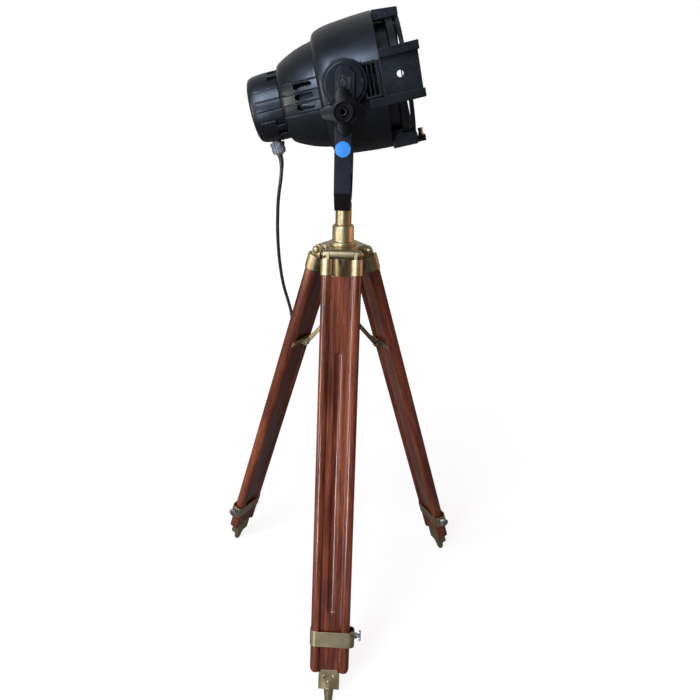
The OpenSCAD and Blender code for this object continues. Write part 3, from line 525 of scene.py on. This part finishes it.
# The lead's points from the gland to the hank, in millimetres of the tripod's frame
LEAD = [(-111.3, 0, 941.8), (-109.2, 0, 932.9), (-108.9, 0.8, 921), (-111, 4, 901.5),
        (-115, 9.5, 880), (-118.5, 17, 856), (-120.5, 24, 832),
        (-122, 31, 808), (-122.5, 40, 775), (-121.5, 47, 745), (-119, 53, 716), (-117, 55, 702),
        (-113.5, 57, 684), (-107, 58.5, 660), (-101.5, 58.5, 636),
        (-99.5, 58, 608), (-103.5, 59.8, 570), (-121.2, 70, 508.7), (-153.9, 88.8, 394.8),
        (-186.5, 107.7, 280.8), (-208.2, 120.2, 205), (-215.2, 124.2, 181), (-221.2, 127.7, 165),
        (-228.1, 131.7, 150), (-233, 134.6, 136), (-237.4, 137.1, 121), (-243.2, 140.6, 99),
        (-248.7, 144.8, 75), (-253.2, 149.3, 53), (-256.7, 155, 34), (-259.3, 163.5, 18.5),
        (-262, 177.5, 7.5), (-266, 199, 3.7), (-271.5, 221, 3.9), (-277, 242, 4.1),
        (-279.5, 256, 4.2), (-279.7, 264, 4.2)]
FIRST_JOIN, SECOND_JOIN = 6, 11  # points where the stretch of the yoke and of the column end
CLAMPED = 15  # point from which the cord goes with the leg
# The hank in millimetres: middle, half its straight run, radius of its folds, how much that changes
# in a turn, height of a layer and of the first one, how far the runs are drawn in, and turns
HANK_AT = (-253, 310)
HANK_RUN, HANK_FOLD, HANK_STEP, HANK_LAYER = 46, 18.7, 8, 7
HANK_BASE, HANK_WAIST, HANK_TURNS = 4.2, 7, 2
# From the hank's last turn up over it to the plug, from the hank's middle
TAIL = [(-26, -40, 11.6), (-24, -33, 13), (-19, -22, 16.5), (-11, -9, 20), (-3.5, 3, 21.4),
        (0, 12, 21.6), (0, 18.5, 21.6)]
STEPS = 8  # rings between two points
# Directions that the cord never takes: they set the angle of its rings
HANGING_REF = np.array([1.0, 0.02, 0.03])
LEG_REF = np.array([0.05, 0.3, 1.0])


def hank_points(rings):
    """The hank's turns, each of this many rings: run, far fold, run back and near fold, on a radius
    that shrinks and grows by one step a turn, climbing a layer along the run after it reverses."""
    i = np.arange(rings * HANK_TURNS + 1)
    q = i / rings
    r = HANK_FOLD + HANK_STEP * np.abs(q - 1)
    z = HANK_BASE + HANK_LAYER * np.clip(4 * (q - 1), 0, 1)
    quarter = (4 * (i % rings)) // rings
    part = 4 * (i % rings) / rings - quarter
    y = HANK_RUN * (2 * part - 1)
    pull = HANK_WAIST * np.cos(math.pi / 2 * y / HANK_RUN) ** 2
    c, s = np.cos(math.pi * part), np.sin(math.pi * part)
    x = np.choose(quarter, [pull - r, -r * c, r - pull, r * c])
    y = np.choose(quarter, [y, HANK_RUN + r * s, -y, -HANK_RUN - r * s])
    return np.stack([x + HANK_AT[0], y + HANK_AT[1], z], -1)


def cord_piece(name, path, ref):
    """A round tube along the path, closed at both ends."""
    return piece(name, *closed_rings(tube_rings(path, CORD_D / 2, 16, ref)), FINISH["cable"])


LOOP = 96  # points round the strap and the plug's body


def loop(a, b, power):
    """A closed outline, a by b: an ellipse at power 1, and squarer the smaller the power."""
    k = np.linspace(0, 2 * math.pi, LOOP + 1)[:-1]
    c, s = np.cos(k), np.sin(k)
    return np.stack([a * np.sign(c) * np.abs(c) ** power, b * np.sign(s) * np.abs(s) ** power], -1)


def make_hank_fittings():
    """Strap round the hank, and the plain two-pin plug: a neck with bend grooves, a body with rounded
    sides and two round pins."""
    outer, inner = loop(23, 7.75, 0.45), loop(22, 6.8, 0.45)
    rows = [(inner, -4.7), (outer * 0.995, -5), (outer, -4.6), (outer, 4.6), (outer * 0.995, 5),
            (inner, 4.7)]
    points = np.stack([np.stack([o[:, 0], np.full(LOOP, y), o[:, 1] + 7.85], -1) for o, y in rows], 1)
    centre = np.array([*HANK_AT, 0.0])
    strap = stand_in(piece("hank_strap", in_row((points.reshape(-1, 3) + centre) / 1000),
                           grid_faces(LOOP, len(rows), True, True), FINISH["cable"], BODY["hank_tie"]),
                     "hank_tie")
    stations = [(18.5, 3.9, 3.9, 1), (19, 4.3, 4.3, 1)]  # along, half width, half height, power
    for i in range(5):
        for step, radius in ((20, 4.5), (20.9, 4.5), (21.1, 3.9), (21.8, 3.9)):
            stations.append((step + 2 * i, radius + 0.25 * i, radius + 0.25 * i, 1))
    stations += [(30, 6.2, 6, 1), (31, 9, 6.2, 0.8), (33, 12.5, 6.5, 0.6), (36, 14.6, 6.6, 0.5),
                 (42, 13.6, 6.5, 0.5), (47, 13.4, 6.5, 0.5), (53, 14.8, 6.6, 0.5), (56.6, 15, 6.6, 0.5),
                 (57.6, 14.6, 6.2, 0.5), (58, 13.8, 5.6, 0.5)]
    rings = np.stack([np.insert(loop(a, b, p), 1, y, axis=1) for y, a, b, p in stations])
    move = in_row((centre + [0, 0, TAIL[-1][2]]) / 1000)
    plug = stand_in(piece("plug_moulded", rings.reshape(-1, 3) / 1000 + move, closed_rings(rings)[1],
                          FINISH["cable"], BODY["plug"]), "plug")
    pin = [(0.01, 57.5), (2, 57.5), (2, 66), (1.85, 66.3), (2, 66.6), (2, 74), (1.5, 74.8), (0.01, 75)]
    points, faces = joined([closed_rings(along("y", (x, 0, 0), turned(pin, 32)))
                            for x in (-0.0093, 0.0093)])
    return [strap, plug, piece("plug_pins", points + move, faces, FINISH["steel"], BODY["plug"])]


def make_cord():
    """The mains lead in three stretches: gland to yoke, yoke to column, and column to the left leg, which
    carries the rest and the hank on the floor."""
    lead = in_row(curve_points(np.array(LEAD) / 1000, STEPS))
    hank = in_row(hank_points(rings=72) / 1000)
    tail = in_row((np.array(TAIL) + [*HANK_AT, 0]) / 1000)
    tail = curve_points(np.vstack([hank[-5:-4], hank[-1:], tail]), 6)[6:]
    a, b = FIRST_JOIN * STEPS, SECOND_JOIN * STEPS
    upper, middle = lead[:a + 1], lead[a:b + 1]
    lower = np.vstack([lead[b:-1], hank[:-1], tail])
    stretches = [
        ("cable_from_gland", upper, HANGING_REF, ("cable_upper",), ("lantern", "yoke"),
         upper[2 * STEPS], upper[-1]),
        ("cable_hanging", middle, HANGING_REF, ("cable_mid",), ("yoke", "stand"), middle[0], middle[-1]),
        ("cable_down_leg", lower, LEG_REF, ("cable_lower", "cable_hank"), ("stand", "leg_left"),
         lower[0], lead[CLAMPED * STEPS]),
    ]
    fittings = make_hank_fittings()
    for name, path, ref, nodes, bodies, begin, end in stretches:
        obj = cord_piece(name, path, ref)
        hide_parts(*nodes)
        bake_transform(obj)
    return lead


lead_path = make_cord()

# ------------------------------------------------------------------ castings and fittings
EASED = {  # edge radius in millimetres: castings, bent bar, turned and sawn brass, planed wood
    "hood": 1.1, "body_shell": 0.8, "rear_cap": 0.8, "front_ring": 0.9, "top_block": 1.0,
    "bracket_near": 0.8, "bracket_far": 0.8, "front_catch": 0.5, "yoke": 0.9, "pivot_screws": 0.5,
    "hub": 0.9, "column_socket": 0.8, "centre_rod": 0.5, "spigot": 0.5, "runner": 0.5,
    "yoke_bolt": 0.5, "catch_plunger": 0.4, "lens_clamp": 0.3, "lamp_holder": 0.4, "inner_sleeve": 0.3,
}
for side in AZIMUTHS:
    EASED.update({part + "_" + side: width for part, width in (
        ("ferrules", 0.6), ("rails", 1.3), ("collar", 0.5), ("stay_bracket", 0.4), ("stay", 0.6),
        ("plank", 0.5), ("shoe", 0.5), ("hinge_bolt", 0.5))})
for node_name, width in EASED.items():
    eased(node_name, width)

# ------------------------------------------------------------------ turned and moulded pieces


def add_turned(name, rings, material, node=None, body=None):
    """A closed piece from rings; it stands for a CAD node or is added to a body."""
    obj = piece(name, *closed_rings(rings), material, body or BODY[node])
    return stand_in(obj, node) if node else obj


# The tilt knob's radii in millimetres, at its lobes, between them and at its boss, and its turn
KNOB_TIP, KNOB_WAIST, KNOB_BOSS = 35, 23, 15.5
KNOB_TURN = math.radians(6)


def star(radii, angle):
    """Knob outline: the lobes' part of the radius goes with the cube of the cosine of twice the
    angle; it fades out inwards so that the bosses stay round."""
    wave = np.sqrt(np.cos(2 * (angle - KNOB_TURN)) ** 2 + 0.002) ** 3
    lobes = KNOB_WAIST + (KNOB_TIP - KNOB_WAIST) * wave
    share = np.clip((radii * 1000 - KNOB_BOSS) / (KNOB_TIP - KNOB_BOSS), 0, 1)
    return radii * (1 - share) + share * (lobes[None, :] + radii * 1000 - KNOB_TIP) / 1000


def make_tilt_knob():
    """Four-lobed moulded knob on its stud: pressed pad, stud, washer boss, lobes with rolled edges, a
    raised rim and a moulded-in nut with a deep bore."""
    profile = [(0.01, -8.5), (8.6, -8.5), (9, -8.1), (9, -5.9), (8.6, -5.6), (4, -5.6), (4, 0.3),
               (12, 0.3), (12.5, 0.8), (12.5, 3.3), (15.5, 3.3), (32.5, 3.3), (34, 3.7), (34.8, 4.7),
               (35, 6), (35, 11), (34.7, 12.5), (33.8, 13.6), (32.4, 14), (15.5, 14), (14.6, 14.4),
               (14.5, 16.3), (14.1, 16.9), (13.4, 17), (12.6, 16.6), (12, 15.7), (7.2, 15.5),
               (6.8, 15.9), (6.3, 18.4), (5.7, 19), (3.8, 19), (3.2, 18.6), (3, 17.6), (2.9, 9),
               (0.01, 9)]
    rings = along("-y", (0, AXIS_Y + STRAP_FACE, PIVOT_Z - KNOB_DROP), turned(profile, 160, star))
    add_turned("knob_star", rings, FINISH["knob"], "tilt_knob")


def grips(count, depth, low, high):
    """Radii pressed in by rounded grooves round the piece, on the rows between two radii."""
    def shape(r, angle):
        dent = depth / 1000 * np.clip(np.cos(count * angle) * 2 - 0.8, 0, 1)
        return r - dent * ((r * 1000 > low) & (r * 1000 < high))
    return shape


def hexagon(r, angle):
    """Radii of 12.8 mm and more cut to a six-sided nut with slightly rounded corners."""
    flat = np.cos(math.pi / 6) / np.cos(angle % (math.pi / 3) - math.pi / 6)
    return np.where(r > 0.01275, r * np.minimum(flat, 0.985), r)


def make_gland():
    """Moulded cable gland: threaded seat, hexagon, washer, dome nut with grips, and the tapered
    ribbed sleeve that bends with the cord's first 20 mm."""
    profile = [(0.01, -52), (7.6, -52), (7.9, -52.4), (7.9, -63), (12.8, -63), (12.8, -63.4),
               (12.8, -68.6), (12.8, -69), (11.2, -69), (11.4, -69.4), (11.4, -71.6), (11.2, -72),
               (11.9, -72.2), (12, -72.8), (11.8, -76), (11.5, -78.6), (11, -80.2), (10, -81.2),
               (8.4, -81.8), (6.6, -82), (6.3, -83.4), (5.6, -84), (0.01, -84)]

    def shape(r, angle):
        return grips(14, 0.9, 11.45, 12.05)(hexagon(r, angle), angle)
    rings = in_lantern(turned(profile, 168, shape) + [GLAND_X, 0, 0])
    add_turned("gland_nut", rings, FINISH["gland"], "gland")
    path = lead_path[:2 * STEPS + 1]
    path = np.vstack([path[:1] - (path[1] - path[0]), path])
    fine = curve_points(path, 5)
    way = np.linspace(0, 1, len(fine))
    ribs = 0.22 * np.clip(np.sin(way * 2 * math.pi * 9) * 3, -1, 1) * (1 - way)
    add_turned("cord_sleeve", tube_rings(fine, (4.7 - 1.2 * way + ribs) / 1000, 32, HANGING_REF),
               FINISH["cable"], body="lantern")


def make_thumbscrews():
    """Steel thumbscrews of the three collars: stem, turned cone and a disc with a knurled edge."""
    profile = [(0.01, 35.8), (3.7, 35.8), (4, 36.2), (4, 44.5), (5.5, 44.5), (5.8, 44.9), (5.6, 46.4),
               (4.4, 48.6), (3.4, 50.4), (2.9, 51.2), (3.2, 51.5), (7.9, 51.6), (8.6, 52), (8.8, 52.6),
               (8.8, 54.8), (8.6, 55.2), (7.9, 55.5), (5, 55.65), (0.01, 55.7)]

    def knurl(r, angle):
        return r + 0.00022 * np.clip(2 * np.cos(44 * angle), -1, 1) * (r > 0.0083)
    for side, out in (("front", "y"), ("left", "y"), ("right", "-y")):
        rings = along(out, (0, 0, THUMB_UP), turned(profile, 176, knurl))
        add_turned("thumbscrew_turned_" + side, in_leg(side)(rings), FINISH["steel"],
                   "thumbscrew_" + side)


def head_at(name, body, place, centre, out, radius, rise, material, turn):
    """A slotted screw head at a place of the given frame, its top towards the axis out."""
    points, faces = slotted_head(radius, rise, radius * 0.42, rise * 0.95, turn)
    piece(name, place(along(out, centre, points)), faces, material, body)


SHOE_FACE = 0.0095  # outer face of a shoe, from the leg's middle
BRACKET_FACE, BRACKET_UP = -0.0142, -0.203  # a stay bracket's rear face, and its place up the leg


def make_screw_heads():
    """Slotted brass heads: three on each shoe and two on each stay bracket."""
    for side in AZIMUTHS:
        place = in_leg(side)
        for i, (y, s) in enumerate(((-9, 764), (9, 764), (0, 775))):
            head_at("shoe_screw_%s_%d" % (side, i), BODY["shoe_" + side], place,
                    (SHOE_FACE, y / 1000, -s / 1000), "x", 2.9, 1.5, FINISH["brass"], 0.4 + 1.3 * i)
        for i, y in enumerate((26, -26)):
            head_at("stay_screw_%s_%d" % (side, i), BODY["stay_bracket_" + side], place,
                    (BRACKET_FACE, y / 1000, BRACKET_UP), "-x", 2.9, 1.8, FINISH["brass"], 0.9 + 0.8 * i)


def in_optics(rings):
    """Rings about Z taken to the lantern's own axis, Z towards its front."""
    return in_lantern(along("x", (0, 0, AXIS_DROP), rings))


def make_optics():
    """Pressed lens with shallow steps and spun reflector, round enough to stay smooth close to."""
    steps = []
    for i in range(12):
        r = 60 - 5 * i
        steps += [(r, 68.2 + 0.31 * i), (r - 4.2, 68.9 + 0.31 * i)]
    lens = [(0.01, 58), (77.6, 58), (78, 58.4), (78, 62.6), (77.6, 63)] + steps + [(0.01, 72)]
    add_turned("lens_pressed", in_optics(turned(lens, 144)), FINISH["glass"], "lens")
    back = [(15.1, -96), (24, -95), (36, -88), (46, -77), (52, -64), (54, -56)]
    bowl = [(52.5, -56), (50.6, -63.5), (44.8, -76), (35.2, -86.7), (23.6, -93.5), (15.1, -94.5)]
    profile = np.vstack([curve_points(back, 5), curve_points(bowl, 5)])
    rings = in_optics(turned(profile, 120))
    stand_in(piece("reflector_spun", rings.reshape(-1, 3), grid_faces(len(profile), 120, True, True),
                   FINISH["reflector"], BODY["reflector"]), "reflector")


def make_label():
    """Plain round vinyl disc on the yoke, its edge slightly rolled."""
    profile = [(0.01, 0), (11.8, 0), (11.8, 0.25), (11.6, 0.45), (11.2, 0.5), (0.01, 0.55)]
    rings = along("-y", (0, AXIS_Y + STRAP_FACE, LABEL_Z), turned(profile, 96))
    add_turned("label_disc", rings, FINISH["label"], "round_label")


BOSS_SCREW = np.array([0.0262, 0.1139, -0.0018])  # place of the far one in the lantern's frame


def make_set_screws():
    """Small blackened grub screw in each boss's face, beside the yoke's strap. Its dark steel is partly
    the screw's own colour and partly painted shade for its socket.
    """
    profile = [(0.01, -0.6), (2.3, -0.6), (2.3, 0.2), (2, 0.35), (1.7, 0.3), (1.45, -0.15),
               (1.3, -0.45), (0.01, -0.5)]
    for i, (out, side) in enumerate((("-y", -1), ("y", 1))):
        rings = along(out, BOSS_SCREW * [1, side, 1], turned(profile, 40))
        # dark steel here is partly painted shade: it stands for the shadowed socket as well as the
        # blackened screw
        add_turned("boss_screw_%d" % i, in_lantern(rings), FINISH["dark_steel"], body="lantern")


make_tilt_knob()
make_set_screws()
make_gland()
make_thumbscrews()
make_screw_heads()
make_optics()
make_label()

# ------------------------------------------------------------------ stage


def backdrop_light(tree):
    """Strength of the surroundings: 1, white, to the camera. Metal and glass see a little more than
    half of that on the backdrop's side, and it falls to a dim room behind the camera. As light on the
    object it is weaker still."""
    ray = add(tree, "ShaderNodeLightPath")
    incoming = add(tree, "ShaderNodeNewGeometry")
    split = add(tree, "ShaderNodeSeparateXYZ", [("Vector", incoming, "Incoming")])
    room = add(tree, "ShaderNodeMapRange", [("Value", split, 1)], From_Min=-0.5, From_Max=0.7,
               To_Min=1.0, To_Max=0.22)
    mirrored = add(tree, "ShaderNodeMath", [(0, ray, "Is Glossy Ray"), (1, ray, "Is Transmission Ray")],
                   operation="MAXIMUM")
    level = add(tree, "ShaderNodeMapRange", [("Value", mirrored, 0)], To_Min=0.18, To_Max=0.55)
    light = add(tree, "ShaderNodeMath", [(0, room, 0), (1, level, 0)], operation="MULTIPLY")
    return add(tree, "ShaderNodeMath", [(0, light, 0), (1, ray, "Is Camera Ray")], operation="MAXIMUM")


FLOOR_HALF = 6.0
LIGHTS = (  # name, place, size, watts, colour
    ("window", (-1.1, -1.9, 2.25), (1.2, 1.5), 92, "#e6edff"),
    ("panel_left", (-2.1, -1.0, 0.75), (0.5, 1.2), 28, "#fff4e6"),
    ("strip_low", (-1.0, -2.2, 0.15), (0.15, 1.0), 36, "#eef2ff"),
    ("warm_right", (1.6, 0.1, 1.0), (0.7, 0.7), 6, "#ff9450"))


def make_stage():
    """Grey floor lifted to white for the camera, more so away from the lamp, so that it keeps the
    lamp's shadow, and four soft lights: a cool window high at the left, a dim panel at the left for
    the brass, a strip low at the front for the varnish and a small warm lamp at the right."""
    s = FLOOR_HALF
    mesh = bpy.data.meshes.new("floor")
    mesh.from_pydata([(-s, -s, 0), (s, -s, 0), (s, s, 0), (-s, s, 0)], [], [(0, 1, 2, 3)])
    floor = bpy.data.objects.new("floor", mesh)
    bpy.context.scene.collection.objects.link(floor)
    mat, tree, bsdf = start("studio_floor_white", Roughness=0.9, Base_Color=linear("#808080"),
                            Specular_IOR_Level=0.1, Emission_Color=(1, 1, 1, 1))
    ray = add(tree, "ShaderNodeLightPath")
    place = add(tree, "ShaderNodeTexCoord")
    away = add(tree, "ShaderNodeVectorMath", [(0, place, "Object")], operation="LENGTH")
    level = add(tree, "ShaderNodeMapRange", [("Value", away, "Value")], From_Min=0.5, From_Max=2.2,
                To_Min=0.86, To_Max=1.0)
    lift = add(tree, "ShaderNodeMath", [(0, ray, "Is Camera Ray"), (1, level, 0)], operation="MULTIPLY")
    tree.links.new(lift.outputs[0], bsdf.inputs["Emission Strength"])
    mesh.materials.append(mat)
    world = bpy.data.worlds.new("studio")
    bpy.context.scene.world = world
    world.use_nodes = True
    background = world.node_tree.nodes["Background"]
    background.inputs[0].default_value = (1, 1, 1, 1)
    world.node_tree.links.new(backdrop_light(world.node_tree).outputs[0], background.inputs[1])
    for name, at, size, power, colour in LIGHTS:
        data = bpy.data.lights.new(name, "AREA")
        data.shape, data.size, data.size_y, data.energy = "RECTANGLE", size[0], size[1], power
        data.color = linear(colour)[:3]
        lamp = bpy.data.objects.new(name, data)
        lamp.location = at
        aim = Vector((0, AXIS_Y, 0.8)) - Vector(at)
        lamp.rotation_mode = "QUATERNION"
        lamp.rotation_quaternion = aim.to_track_quat("-Z", "Y")
        bpy.context.scene.collection.objects.link(lamp)


make_stage()
bpy.context.scene.view_settings.view_transform = "Standard"
